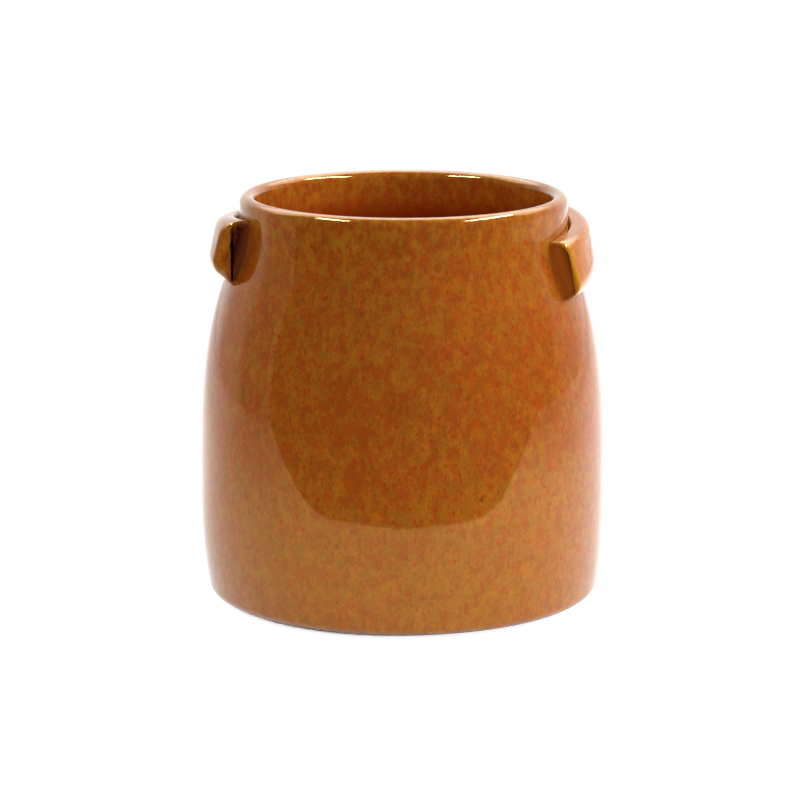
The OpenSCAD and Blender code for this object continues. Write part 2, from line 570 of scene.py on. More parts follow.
    def section(self, angle: float) -> list[tuple[Corner, Vector]]:
        """The strap's section with its corners rounded.

        Args:
            angle: Angle of the section round the strap's own axis, in radians.

        Returns:
            The outline's points in order, each with the corner that it belongs to.
        """
        corners, rounds = self.corners(angle), self.rounds(angle)
        points = []
        for index, corner in enumerate(ROUND):
            at = corners[corner]
            radius = rounds.get(corner)
            if radius is None:
                points.append((corner, at))
                continue
            before, after = corners[ROUND[index - 1]], corners[ROUND[index + 1]]
            points += [(corner, point) for point in fillet(before, at, after, radius, self.arc_steps)]
        return points

    def sweep(self, shell: bmesh.types.BMesh) -> None:
        """Spins the section at one end round to the other and sets each copy to its own outline.

        Args:
            shell: The shell to build in.
        """
        layer = shell.verts.layers.int.new("point")
        stations = self.stations()
        sections = [self.section(angle) for angle in stations]
        verts = []
        for index, (_, point) in enumerate(sections[0]):
            vert = shell.verts.new(self.place(point, stations[0]))
            vert[layer] = index
            verts.append(vert)
        cap = shell.faces.new(verts)
        turn = stations[-1] - stations[0]
        bmesh.ops.spin(
            shell,
            geom=[cap],
            cent=(-self.axis, 0, 0),
            axis=(0, 0, 1),
            angle=turn,
            steps=len(stations) - 1,
        )
        for vert in shell.verts:
            turned = math.atan2(vert.co.y, vert.co.x + self.axis) - stations[0]
            station = round(turned / turn * (len(stations) - 1))
            vert.co = self.place(sections[station][vert[layer]][1], stations[station])
        slot_points = {index for index, (corner, _) in enumerate(sections[0]) if corner in SLOT_CORNERS}
        for face in shell.faces:
            if {vert[layer] for vert in face.verts} <= slot_points:
                face.material_index = 1

    def mark(self, shell: bmesh.types.BMesh) -> None:
        """Marks the thin glaze at the cut ends, the slot's inside, which gets painted shade near its mouth
        and painted light deeper in, and the crevice along the top, which gets painted shade.

        Args:
            shell: The swept shell, before it is turned to its place.
        """
        thin = shell.verts.layers.float.new("thin")
        inner = shell.verts.layers.float.new("inner")
        deep = shell.verts.layers.float.new("deep")
        crevice = shell.verts.layers.float.new("crevice")
        point = shell.verts.layers.int["point"]
        corners = [corner for corner, _ in self.section(0.0)]
        for vert in shell.verts:
            depth = self.from_end(math.atan2(vert.co.y, vert.co.x + self.axis))
            within = all(face.material_index == 1 for face in vert.link_faces)
            thickening = self.slot_thick_in if within else self.thick_in
            vert[thin] = self.end_thin * (1 - smooth(depth, *thickening))
            # The slot's inside gets painted shade near its mouth and painted light deeper in.
            vert[inner] = smooth(depth, *self.slot_in) if within else 0.0
            corner = corners[vert[point]]
            vert[deep] = smooth(depth, *self.deep_in) if within and corner not in WEB_CORNERS else 0.0
            # The crevice along the top gets painted shade.
            vert[crevice] = 1.0 if corner in CREVICE_CORNERS else 0.0
        for face in shell.faces:
            face.material_index = 0

    def build(self, material: bpy.types.Material) -> bpy.types.Object:
        """Bends, rounds and places the strap.

        Args:
            material: The glaze.

        Returns:
            The finished piece.
        """
        shell = bmesh.new()
        self.sweep(shell)
        self.mark(shell)
        turn = Matrix.Rotation(math.radians(self.azimuth), 4, "Z")
        bmesh.ops.transform(shell, matrix=turn, verts=shell.verts)
        return finish_piece(self.node, shell, material)


# Materials


class Graph:
    """A node tree with short calls for adding and linking nodes."""

    def __init__(self, tree: bpy.types.NodeTree) -> None:
        """Starts on an empty tree."""
        self.tree = tree
        tree.nodes.clear()

    def add(
        self, kind: str, inputs: dict[str | int, object] | None = None, **settings: object
    ) -> bpy.types.Node:
        """Adds a node.

        Args:
            kind: The node's type.
            inputs: For each input, a value or the socket that feeds it.
            **settings: The node's own properties.

        Returns:
            The new node.
        """
        node = self.tree.nodes.new(kind)
        for name, value in settings.items():
            setattr(node, name, value)
        for name, value in (inputs or {}).items():
            self.feed(node.inputs[name], value)
        return node

    def maths(self, operation: str, *values: object) -> Socket:
        """Does one sum.

        Args:
            operation: The Math node's operation.
            *values: Numbers or sockets.

        Returns:
            The result.
        """
        return self.add("ShaderNodeMath", dict(enumerate(values)), operation=operation).outputs[0]

    def group(self, tree: bpy.types.NodeTree, inputs: dict[str, object]) -> Socket:
        """Places a node group.

        Args:
            tree: The group.
            inputs: For each input, a value or the socket that feeds it.

        Returns:
            The group's output.
        """
        node = self.tree.nodes.new("ShaderNodeGroup")
        node.node_tree = tree
        for name, value in inputs.items():
            self.feed(node.inputs[name], value)
        return node.outputs[0]

    def feed(self, socket: Socket, value: object) -> None:
        """Links a socket to another or sets its value."""
        if isinstance(value, Socket):
            self.tree.links.new(value, socket)
        else:
            socket.default_value = value

    def step(self, value: object, low: float, high: float, to: float = 1.0) -> Socket:
        """A soft step of a value from 0 at low to another number at high.

        Args:
            value: The socket to read.
            low: Where the step starts.
            high: Where it ends.
            to: What it ends at.

        Returns:
            The stepped value.
        """
        inputs = {"Value": value, "From Min": low, "From Max": high, "To Min": 0.0, "To Max": to}
        return self.add("ShaderNodeMapRange", inputs, interpolation_type="SMOOTHSTEP").outputs["Result"]

    def blend(self, share: object, a: object, b: object) -> Socket:
        """Mixes two colours.

        Args:
            share: How much of the second colour shows.
            a: The first colour.
            b: The second colour.

        Returns:
            The mixed colour.
        """
        node = self.add("ShaderNodeMix", data_type="RGBA")
        for index, value in ((0, share), (6, a), (7, b)):
            self.feed(node.inputs[index], value)
        return node.outputs[2]

    def patch(self, first: object, first_fade: Pair, second: object, second_fade: Pair) -> Socket:
        """A patch that lies past two soft edges at once.

        Args:
            first: The socket that the first edge reads.
            first_fade: Where that edge starts and ends.
            second: The socket that the second edge reads.
            second_fade: Where that edge starts and ends.

        Returns:
            The share of the patch, from 0 to 1.
        """
        return self.maths("MULTIPLY", self.step(first, *first_fade), self.step(second, *second_fade))

    def from_axis(self, x: object, y: object) -> Socket:
        """Distance from the jar's axis."""
        return self.maths("SQRT", self.maths("MULTIPLY_ADD", x, x, self.maths("MULTIPLY", y, y)))

    def mark(self, name: str) -> Socket:
        """What a piece's own points say under a name."""
        return self.add("ShaderNodeAttribute", attribute_name=name).outputs["Fac"]

    def ray(self) -> tuple[Socket, Socket]:
        """Whether the camera looks straight at a point, and whether the glaze mirrors it."""
        paths = self.add("ShaderNodeLightPath").outputs
        glossy = self.maths("MAXIMUM", paths["Is Glossy Ray"], paths["Is Transmission Ray"])
        return paths["Is Camera Ray"], glossy

    def stretched(self, vector: object, scale: Sequence[float]) -> Socket:
        """Coordinates scaled along each axis."""
        return self.add("ShaderNodeMapping", {"Vector": vector, "Scale": scale}).outputs[0]

    def noise(self, vector: object, scale: float, detail: float, roughness: float) -> Socket:
        """Noise from 0 to 1, centred on a half.

        Args:
            vector: The coordinates.
            scale: How fine it is.
            detail: How many finer layers it has.
            roughness: How strong those are.

        Returns:
            The noise.
        """
        inputs = {"Vector": vector, "Scale": scale, "Detail": detail, "Roughness": roughness}
        return self.add("ShaderNodeTexNoise", inputs).outputs["Fac"]

    def cells(self, vector: object, scale: float) -> tuple[Socket, ...]:
        """Scattered spots.

        Args:
            vector: The coordinates.
            scale: How many there are to a metre.

        Returns:
            The distance from the nearest spot and two numbers of that spot's own, from 0 to 1.
        """
        spots = self.add("ShaderNodeTexVoronoi", {"Vector": vector, "Scale": scale, "Randomness": 1.0})
        own = self.add("ShaderNodeSeparateColor", {"Color": spots.outputs["Color"]})
        return spots.outputs["Distance"], own.outputs[0], own.outputs[1]


def new_material(name: str) -> tuple[bpy.types.Material, Graph]:
    """Adds a material.

    Args:
        name: The material's name.

    Returns:
        The material and its nodes.
    """
    material = bpy.data.materials.new(name)
    material.use_nodes = True
    return material, Graph(material.node_tree)


def open_socket(
    tree: bpy.types.NodeTree, name: str, kind: str, way: str = "INPUT", value: object = None
) -> None:
    """Gives a node group a socket.

    Args:
        tree: The group.
        name: The socket's name.
        kind: Float, Color or Vector.
        way: INPUT or OUTPUT.
        value: The input's default.
    """
    socket = tree.interface.new_socket(name, in_out=way, socket_type=f"NodeSocket{kind}")
    if value is not None:
        socket.default_value = value


@dataclass(frozen=True)
class Spots:
    """Round spots scattered in the glaze, some of which are picked to show.

    Scale is how many cells there are to a metre, and sizes are shares of a cell: the smallest spot
    and how much larger others are, and how soft their edge is.
    """

    scale: float
    size: Pair
    edge: Pair
    picked: Pair
    strength: float
    run: float = 0.7

    def share(self, graph: Graph, place: Socket) -> Socket:
        """How much of the spots' colour shows.

        Args:
            graph: The nodes.
            place: The object's coordinates.

        Returns:
            A share from 0 to 1.
        """
        distance, pick, vary = graph.cells(graph.stretched(place, (1, 1, self.run)), self.scale)
        least, more = self.size
        past = graph.maths("SUBTRACT", distance, graph.maths("MULTIPLY_ADD", vary, more, least))
        spot = graph.step(past, *self.edge, self.strength)
        return graph.maths("MULTIPLY", spot, graph.step(pick, *self.picked))


@dataclass(frozen=True)
class Mottle:
    """The glaze's colour: fine grain, red dots, iron specks and the yellow of thin places.

    Scales are how many grains or clouds there are to a metre. The body's band is where the russet
    shows most.
    """

    run: float = 0.7
    grain_scale: float = 640.0
    cloud_scale: float = 20.0
    cloud_weight: float = 0.6
    patch_scale: float = 170.0
    patch_weight: float = 1.3
    band_low: Pair = (0.09, 0.15)
    band_high: Pair = (0.245, 0.19)
    band_weight: float = -0.10
    amber_at: Pair = (1.21, 1.63)
    shade_scale: float = 420.0
    shade: Band = (0.38, 0.66, 0.28)
    dusk_scale: float = 120.0
    dusk: Band = (0.35, 0.65, 0.16)
    dots: tuple[Spots, ...] = (
        Spots(scale=205.0, size=(0.12, 0.14), edge=(0.08, -0.06), picked=(0.55, 0.59), strength=0.80),
        Spots(scale=310.0, size=(0.12, 0.14), edge=(0.08, -0.06), picked=(0.58, 0.62), strength=0.65),
    )
    specks: Spots = Spots(
        scale=95.0, size=(0.04, 0.06), edge=(0.05, -0.03), picked=(0.70, 0.95), strength=0.75, run=0.62
    )
    breaking_patch: float = 0.8
    breaking_from: float = 0.4
    breaking: Band = (0.2, 0.95, 0.9)

    def grain(self, graph: Graph, place: Socket, run: Socket, patch: Socket) -> Socket:
        """Where the glaze is amber rather than russet.

        Args:
            graph: The group's nodes.
            place: The object's coordinates.
            run: The same, drawn out the way that the glaze ran.
            patch: The patches' noise.

        Returns:
            The share of amber.
        """
        grain = graph.noise(run, self.grain_scale, 3.0, 0.6)
        cloud = graph.noise(place, self.cloud_scale, 3.0, 0.55)
        height = graph.add("ShaderNodeSeparateXYZ", {"Vector": place}).outputs[2]
        band = graph.patch(height, self.band_low, height, self.band_high)
        patched = graph.maths("MULTIPLY_ADD", patch, self.patch_weight, grain)
        tone = graph.maths("MULTIPLY_ADD", cloud, self.cloud_weight, patched)
        tone = graph.maths("MULTIPLY_ADD", band, self.band_weight, tone)
        return graph.step(tone, *self.amber_at)

    def build(self) -> bpy.types.NodeTree:
        """Builds the node group.

        Returns:
            The group.
        """
        tree = bpy.data.node_groups.new("mottled_glaze", "ShaderNodeTree")
        open_socket(tree, "Coordinates", "Vector")
        open_socket(tree, "Thin", "Float", value=0.0)
        for name in ("Amber", "Russet", "Red", "Honey", "Iron"):
            open_socket(tree, name, "Color", value=(0.5, 0.5, 0.5, 1))
        open_socket(tree, "Color", "Color", "OUTPUT")
        graph = Graph(tree)
        ports = graph.add("NodeGroupInput").outputs
        place = ports["Coordinates"]
        run = graph.stretched(place, (1, 1, self.run))
        patch = graph.noise(run, self.patch_scale, 2.0, 0.5)

        colour = graph.blend(self.grain(graph, place, run, patch), ports["Russet"], ports["Amber"])
        shade = graph.step(graph.noise(run, self.shade_scale, 3.0, 0.65), *self.shade)
        colour = graph.blend(shade, colour, ports["Iron"])
        dusk = graph.step(graph.noise(run, self.dusk_scale, 2.0, 0.5), *self.dusk)
        colour = graph.blend(dusk, colour, ports["Iron"])

        for dots in self.dots:
            colour = graph.blend(dots.share(graph, place), colour, ports["Red"])
        colour = graph.blend(self.specks.share(graph, place), colour, ports["Iron"])

        thin = graph.maths("SUBTRACT", ports["Thin"], self.breaking_from)
        breaking = graph.maths("MULTIPLY_ADD", patch, self.breaking_patch, thin)
        colour = graph.blend(graph.step(breaking, *self.breaking), colour, ports["Honey"])
        graph.add("NodeGroupOutput", {"Color": colour})
        return tree


@dataclass(frozen=True)
class Ripple:
    """The glaze's surface: the slow waves of a thick coat and its fine orange peel."""

    wave_scale: float = 62.0
    peel_scale: float = 330.0

    def build(self) -> bpy.types.NodeTree:
        """Builds the node group.

        Returns:
            The group.
        """
        tree = bpy.data.node_groups.new("glaze_ripple", "ShaderNodeTree")
        open_socket(tree, "Coordinates", "Vector")
        open_socket(tree, "Wave", "Float", value=1.0)
        open_socket(tree, "Peel", "Float", value=1.0)
        open_socket(tree, "Height", "Float", "OUTPUT")
        graph = Graph(tree)
        ports = graph.add("NodeGroupInput").outputs
        wave = graph.noise(ports["Coordinates"], self.wave_scale, 2.0, 0.45)
        peel = graph.noise(ports["Coordinates"], self.peel_scale, 2.0, 0.5)
        height = graph.maths(
            "ADD",
            graph.maths("MULTIPLY", wave, ports["Wave"]),
            graph.maths("MULTIPLY", peel, ports["Peel"]),
        )
        graph.add("NodeGroupOutput", {"Height": height})
        return tree


@dataclass(frozen=True)
class Glaze:
    """Glossy amber glaze over red clay."""

    name: str
    amber: Colour = (0.40, 0.122, 0.008, 1)
    russet: Colour = (0.385, 0.070, 0.006, 1)
    red: Colour = (0.37, 0.038, 0.004, 1)
    honey: Colour = (0.50, 0.20, 0.012, 1)
    iron: Colour = (0.075, 0.038, 0.008, 1)
    # Painted shade in a strap's slot, and painted light deeper in it, where little light reaches.
    slot: Colour = (0.45, 0.09, 0.015, 1)
    painted_light_deep_slot: Colour = (0.85, 0.40, 0.12, 1)
    # Painted shade in the crevice along a strap's top.
    crevice: Colour = (0.07, 0.022, 0.010, 1)
    sheen: Colour = (1.0, 0.70, 0.25, 1)
    roughness: float = 0.045
    slot_roughness: float = 0.80
    ior: float = 1.7
    wave: float = 1.0
    peel: float = 0.10
    depth: float = 0.000045

    def coat(self, graph: Graph, place: Socket, thin: Socket, mottle: bpy.types.NodeTree) -> Socket:
        """The glaze's own colour.

        Args:
            graph: The material's nodes.
            place: The object's coordinates.
            thin: How thin the glaze is.
            mottle: The group that colours it.

        Returns:
            The colour.
        """
        inputs = {"Coordinates": place, "Thin": thin}
        for name in ("amber", "russet", "red", "honey", "iron"):
            inputs[name.capitalize()] = getattr(self, name)
        return graph.group(mottle, inputs)

    def surface(
        self, graph: Graph, place: Socket, colour: Socket, rough: Socket, ripple: bpy.types.NodeTree
    ) -> None:
        """Adds the shader.

        Args:
            graph: The material's nodes.
            place: The object's coordinates.
            colour: The surface's colour.
            rough: Its roughness.
            ripple: The group that shapes its surface.
        """
        height = graph.group(ripple, {"Coordinates": place, "Wave": self.wave, "Peel": self.peel})
        bump = graph.add("ShaderNodeBump", {"Strength": 1.0, "Distance": self.depth, "Height": height})
        inputs = {
            "Base Color": colour,
            "Roughness": rough,
            "IOR": self.ior,
            "Specular Tint": self.sheen,
            "Normal": bump.outputs["Normal"],
        }
        shader = graph.add("ShaderNodeBsdfPrincipled", inputs)
        graph.add("ShaderNodeOutputMaterial", {"Surface": shader.outputs[0]})

    def build(self, mottle: bpy.types.NodeTree, ripple: bpy.types.NodeTree) -> bpy.types.Material:
        """Makes the glaze of a strap, whose slot has a thinner, duller coat with painted shade near its
        mouth and painted light deeper in, and whose crevice along the top has painted shade.

        Args:
            mottle: The group that colours the glaze.
            ripple: The group that shapes its surface.

        Returns:
            The material.
        """
        material, graph = new_material(self.name)
        place = graph.add("ShaderNodeTexCoord").outputs["Object"]
        inner, crevice = graph.mark("inner"), graph.mark("crevice")
        # Painted shade in the slot near its mouth, turning to painted light deeper in.
        slot = graph.blend(graph.mark("deep"), self.slot, self.painted_light_deep_slot)
        colour = graph.blend(inner, self.coat(graph, place, graph.mark("thin"), mottle), slot)
        # Painted shade in the crevice along the top.
        colour = graph.blend(crevice, colour, self.crevice)
        dull = graph.maths("MAXIMUM", inner, crevice)
        rough = graph.maths("MULTIPLY_ADD", dull, self.slot_roughness, self.roughness)
        self.surface(graph, place, colour, rough, ripple)
        return material


@dataclass(frozen=True)
class JarGlaze(Glaze):
    """The jar's glaze: yellower on the neck, darker and rust red deep inside as painted shade, and off the
    foot ring.

    Each fade is where a change starts and ends: the thin glaze on the lip and the neck, the bare foot
    and underside, and the duller wall behind a strap, which gets painted shade, from the strap's foot,
    roof and mouth inward; deeper in, the painted shade turns to painted light. The edge is a painted
    highlight line of thin yellow glaze just outside that patch's mouth. Lengths are in metres.
    """

    straps: tuple[Strap, ...] = ()
    # Colour of the painted shade deep inside the mouth.
    depths: Colour = (0.34, 0.030, 0.003, 1)
    clay: Colour = (0.30, 0.125, 0.062, 1)
    clay_dark: Colour = (0.19, 0.078, 0.038, 1)
    # Painted shade on the wall behind each strap, darker behind the left one, and painted light deeper in.
    slots: tuple[Colour, ...] = ((0.54, 0.112, 0.007, 1), (0.27, 0.056, 0.012, 1))
    painted_light_deep_slots: tuple[Colour, ...] = ((0.85, 0.32, 0.04, 1), (0.50, 0.14, 0.04, 1))
    # Strength of the painted shade inside the mouth.
    inside_shading: float = 0.9
    outside_fade: Pair = (0.05, 0.01)
    lip_fade: Band = (0.2725, 0.2755, 0.15)
    neck_fade: Band = (0.222, 0.262, 0.30)
    foot_fade: Pair = (0.0009, 0.0006)
    underside_r: Pair = (0.1112, 0.1102)
    underside_z: Pair = (0.0045, 0.0038)
    grit_scale: float = 900.0
    grit: Pair = (0.35, 0.65)
    clay_roughness: float = 0.75
    # Where the painted shade behind a strap starts and ends.
    slot_foot_fade: Pair = (0.0, 0.002)
    slot_roof_fade: Pair = (-0.0008, 0.0004)
    slot_mouth_fade: Pair = (-0.0001, 0.0003)
    slot_deep_fade: Pair = (0.0, 0.016)
    side_fade: Pair = (0.0, 0.01)
    # Where the painted highlight line of thin yellow glaze lies along the patch's mouth.
    edge_out: Pair = (-0.0012, -0.0006)
    edge_in: Pair = (0.0001, -0.0003)
    edge_low: Pair = (0.010, 0.022)

    def behind(self, graph: Graph, place: Socket, strap: Strap) -> tuple[Socket, ...]:
        """Where the wall lies behind a strap, which gets painted shade.

        Args:
            graph: The material's nodes.
            place: The object's coordinates.
            strap: The strap.

        Returns:
            Shares from 0 to 1: behind the strap, where shade is painted, deep behind it, where light is
            painted, and along the edge of that patch, where a highlight line is painted.
        """
        turned = graph.add(
            "ShaderNodeVectorRotate",
            {"Vector": place, "Angle": -math.radians(strap.azimuth)},
            rotation_type="Z_AXIS",
        )
        x, y, z = graph.add("ShaderNodeSeparateXYZ", {"Vector": turned.outputs[0]}).outputs
        along = graph.maths("ARCTAN2", y, graph.maths("ADD", x, strap.axis * MM))
        from_end = graph.maths("SUBTRACT", math.radians(strap.half_angle), graph.maths("ABSOLUTE", along))
        reach = graph.maths("MULTIPLY", from_end, strap.wall_q(0.0, strap.top_z) * MM)
        rise = graph.maths("MULTIPLY", along, strap.radius * MM)
        foot, _, top = (math.tan(math.radians(tilt)) for tilt in strap.tilts)
        above = graph.maths("SUBTRACT", z, strap.foot_z * MM)
        above = graph.maths("SUBTRACT", above, graph.maths("MULTIPLY", rise, foot))
        roof = graph.maths("MULTIPLY_ADD", rise, top, (strap.top_z - strap.web_t) * MM)
        under = graph.maths("SUBTRACT", roof, z)
        inside = graph.patch(above, self.slot_foot_fade, under, self.slot_roof_fade)
        inside = graph.maths("MULTIPLY", inside, graph.step(x, *self.side_fade))
        behind = graph.maths("MULTIPLY", inside, graph.step(reach, *self.slot_mouth_fade))
        deep = graph.step(reach, *self.slot_deep_fade)
        beside = graph.patch(reach, self.edge_out, reach, self.edge_in)
        low = graph.step(under, *self.edge_low)
        return behind, deep, graph.maths("MULTIPLY", graph.maths("MULTIPLY", beside, inside), low)

    def build(self, mottle: bpy.types.NodeTree, ripple: bpy.types.NodeTree) -> bpy.types.Material:
        """Makes the jar's glaze.

        Args:
            mottle: The group that colours the glaze.
            ripple: The group that shapes its surface.

        Returns:
            The material.
        """
        material, graph = new_material(self.name)
        place = graph.add("ShaderNodeTexCoord").outputs["Object"]
        x, y, z = graph.add("ShaderNodeSeparateXYZ", {"Vector": place}).outputs

        patches = [self.behind(graph, place, strap) for strap in self.straps]
        thin = graph.maths("ADD", graph.step(z, *self.lip_fade), graph.step(z, *self.neck_fade))
        # A painted highlight line of thin yellow glaze along the mouth of each patch of painted shade.
        for _, _, edge in patches:
            thin = graph.maths("ADD", thin, edge)
        colour = self.coat(graph, place, thin, mottle)

        # Painted shade: the glaze turns darker and redder deeper inside the mouth.
        shaded_inside = graph.mark("shaded_inside")
        colour = graph.blend(graph.maths("MULTIPLY", shaded_inside, self.inside_shading), colour, self.depths)
        outside = graph.step(shaded_inside, *self.outside_fade)
        rough = None
        # Painted shade on the wall behind each strap, turning to painted light deeper in.
        for (behind, deep, _), near_colour, deep_colour in zip(patches, self.slots, self.painted_light_deep_slots):
            share = graph.maths("MULTIPLY", behind, outside)
            colour = graph.blend(share, colour, graph.blend(deep, near_colour, deep_colour))
            dull = graph.maths("MULTIPLY", share, self.slot_roughness)
            rough = graph.maths("ADD", dull, self.roughness if rough is None else rough)

        under = graph.patch(graph.from_axis(x, y), self.underside_r, z, self.underside_z)
        bare = graph.maths("MAXIMUM", graph.step(z, *self.foot_fade), under)
        grit = graph.noise(place, self.grit_scale, 3.0, 0.5)
        clay = graph.blend(graph.step(grit, *self.grit), self.clay_dark, self.clay)
        colour = graph.blend(bare, colour, clay)
        rough = graph.maths("MULTIPLY_ADD", bare, self.clay_roughness, rough)
        self.surface(graph, place, colour, rough, ripple)
        return material


# Studio


@dataclass(frozen=True)
class Lamp:
    """A soft lamp that faces the jar: its place and size in metres and its power in watts."""

    name: str
    at: tuple[float, float, float]
    size: Pair
    power: float
    mirrored: bool = False
    aim_z: float = 0.15

    def hang(self) -> None:
        """Adds the lamp. A mirrored one shows in the glaze alone, and the others light it."""
        data = bpy.data.lights.new(self.name, "AREA")
        data.shape = "RECTANGLE"
        data.size, data.size_y = self.size
        data.energy = self.power
        lamp = add_object(self.name, data)
        lamp.location = self.at
        aim = Vector((0, 0, self.aim_z)) - Vector(self.at)
        lamp.rotation_euler = aim.to_track_quat("-Z", "Y").to_euler()
        lamp.visible_glossy = self.mirrored
        lamp.visible_diffuse = not self.mirrored
        lamp.visible_camera = False


@dataclass(frozen=True)
class Studio:
    """White table before a dark room, with bright walls behind it and a tall window on the left.

    Angles are in degrees round the jar from the camera, to the right. Lengths are in metres. A band
    is where a soft step starts, where it ends and how much light it adds.
    """

    table_size: Pair = (3.5, 3.3)
    table_x: float = 0.30
    table_drop: float = 0.0001
    table_strips: int = 132
    front_y: float = -0.33
    bulge: float = 0.10
    bulge_half: Pair = (0.08, 0.40)
    white: Colour = (0.9, 0.9, 0.9, 1)
    # Painted shadow of the jar on the table: dark under its edge and tinted grey-blue around it.
    shadow_tint: Colour = (0.66, 0.76, 0.90, 1)
    contact_dark: Colour = (0.03, 0.02, 0.02, 1)
    contact: Pair = (0.1196, 0.1212)
    clear_from: Pair = (0.1197, 0.1212)
    shaded_side: Pair = (0.04, -0.06)
    shadow_wider: Pair = (0.0013, 0.0050)
    clear_near: float = 0.85
    shadow_tint_out: Pair = (0.130, 0.150)
    fade_out: Pair = (0.28, 0.5)
    table_level: float = 1.30
    table_bands: tuple[Band, ...] = (
        (0.0, 0.25, 0.35),
        (-0.20, -0.80, -0.62),
        (-0.80, -1.50, -0.30),
        (0.42, 0.80, -0.68),
        (0.80, 1.40, -0.45),
    )
    table_back: Band = (0.0, 0.5, 0.45)
    beside: tuple[Pair, Pair] = ((0.1, -0.1), (0.4, 0.8))
    # Painted shadow in the table's mirrored light near the jar.
    table_near: Band = (0.1200, 0.136, 0.98)
    table_least: float = 0.02
    right_wall: Band = (110.0, 152.0, 0.9)
    left_wall: Band = (-122.0, -150.0, 0.85)
    dark: float = 0.02
    right_side: Band = (-20.0, 60.0, 0.08)
    overhead: Band = (0.08, 0.20, 0.04)
    behind_left: Band = (-106.0, -114.0, 0.22)
    pane: Band = (-103.0, -99.0, 0.20)
    pane_bar: Band = (-85.0, -84.0, 0.16)
    pane_end: Pair = (-79.8, -81.0)
    glow: float = 0.4
    glow_above: Band = (0.40, 0.60, 3.2)
    glow_top: Pair = (0.99, 0.93)
    glow_back: Pair = (0.12, 0.32)
    ambient: float = 0.13
    soft_right: Band = (20.0, 110.0, 0.42)
    soft_above: Band = (0.45, 0.95, 0.9)
    lamps: tuple[Lamp, ...] = (
        Lamp("strip_right", (0.82, -0.05, 1.35), (0.95, 0.15), 40.0, mirrored=True),
        Lamp("strip_left", (-0.72, -0.25, 1.35), (0.50, 0.15), 24.0, mirrored=True),
        Lamp("fill_right", (1.75, -0.05, 1.1), (1.2, 1.2), 34.0),
        Lamp("front", (0.0, -2.3, 0.63), (0.3, 0.3), 16.8),
        Lamp("fill_left", (-1.31, 0.92, 0.6), (1.0, 1.0), 14.0),
    )
    camera_at: tuple[float, float, float] = (0.0, -2.3448, 0.6384)
    aim_z: float = 0.13284
    lens: float = 157.64
    shift_x: float = -0.0025

    def front(self, x: float) -> float:
        """Where the table's front edge lies.

        Args:
            x: Distance to the right of the jar.

        Returns:
            The edge's place along Y.
        """
        return self.front_y - self.bulge * (1 - smooth(abs(x), *self.bulge_half))

    def table(self) -> None:
        """Makes the bow-fronted white table that the jar stands on."""
        width, depth = self.table_size
        shell = bmesh.new()
        bmesh.ops.create_grid(shell, x_segments=self.table_strips, y_segments=1, size=0.5)
        bmesh.ops.scale(shell, vec=(width, depth, 1), verts=shell.verts)
        centre = (self.table_x, self.front_y + depth / 2, -self.table_drop)
        bmesh.ops.translate(shell, vec=centre, verts=shell.verts)
        for vert in shell.verts:
            if vert.co.y < 0:
                vert.co.y = self.front(vert.co.x)
        mesh = bpy.data.meshes.new("table")
        shell.to_mesh(mesh)
        shell.free()
        mesh.materials.append(self.table_white())
        table = add_object("table", mesh)

    def mirrored_table(self, graph: Graph, x: Socket, y: Socket, away: Socket) -> Socket:
        """The table's light as the glaze mirrors it.

        Args:
            graph: The table's nodes.
            x: Distance to the right of the jar's axis.
            y: Distance behind it.
            away: Distance from it.

        Returns:
            The light's strength.
        """
        level = self.table_level
        for band in self.table_bands:
            level = graph.maths("ADD", level, graph.step(x, *band))
        left, right = self.beside
        beside = graph.maths("MAXIMUM", graph.step(x, *left), graph.step(x, *right))
        level = graph.maths("MULTIPLY_ADD", graph.step(y, *self.table_back), beside, level)
        # Painted shadow: the mirrored light is cut near the jar.
        near = graph.maths("ADD", graph.step(away, *self.table_near), self.table_least)
        return graph.maths("MULTIPLY", level, near)

    def shaded_table(self, graph: Graph, x: Socket, away: Socket) -> bpy.types.Node:
        """The table as the camera sees it: its own shading with a painted shadow of the jar near it, and
        white beyond.

        The painted shadow under the jar's edge is darkest and reaches farther on the left.

        Args:
            graph: The table's nodes.
            x: Distance to the right of the jar's axis.
            away: Distance from it.

        Returns:
            The shader.
        """
        (near, far), (near_wider, far_wider) = self.clear_from, self.shadow_wider
        start = graph.maths("ADD", graph.step(x, *self.shaded_side, near_wider), near)
        reach = graph.maths("ADD", graph.step(x, *self.shaded_side, far_wider), far)
        lift = graph.step(away, start, reach, self.clear_near)
        clear = graph.maths("MAXIMUM", lift, graph.step(away, *self.fade_out))
        # Painted shadow colours near the jar.
        close = graph.blend(graph.step(away, *self.contact), self.contact_dark, self.shadow_tint)
        tone = graph.blend(graph.step(away, *self.shadow_tint_out), close, self.white)
        shaded = graph.add("ShaderNodeBsdfDiffuse", {"Color": tone})
        double = graph.add("ShaderNodeAddShader", {0: shaded.outputs[0], 1: shaded.outputs[0]})
        bright = graph.add("ShaderNodeAddShader", {0: double.outputs[0], 1: double.outputs[0]})
        white = graph.add("ShaderNodeEmission", {"Color": (1, 1, 1, 1), "Strength": 1.0})
        return graph.add("ShaderNodeMixShader", {0: clear, 1: bright.outputs[0], 2: white.outputs[0]})

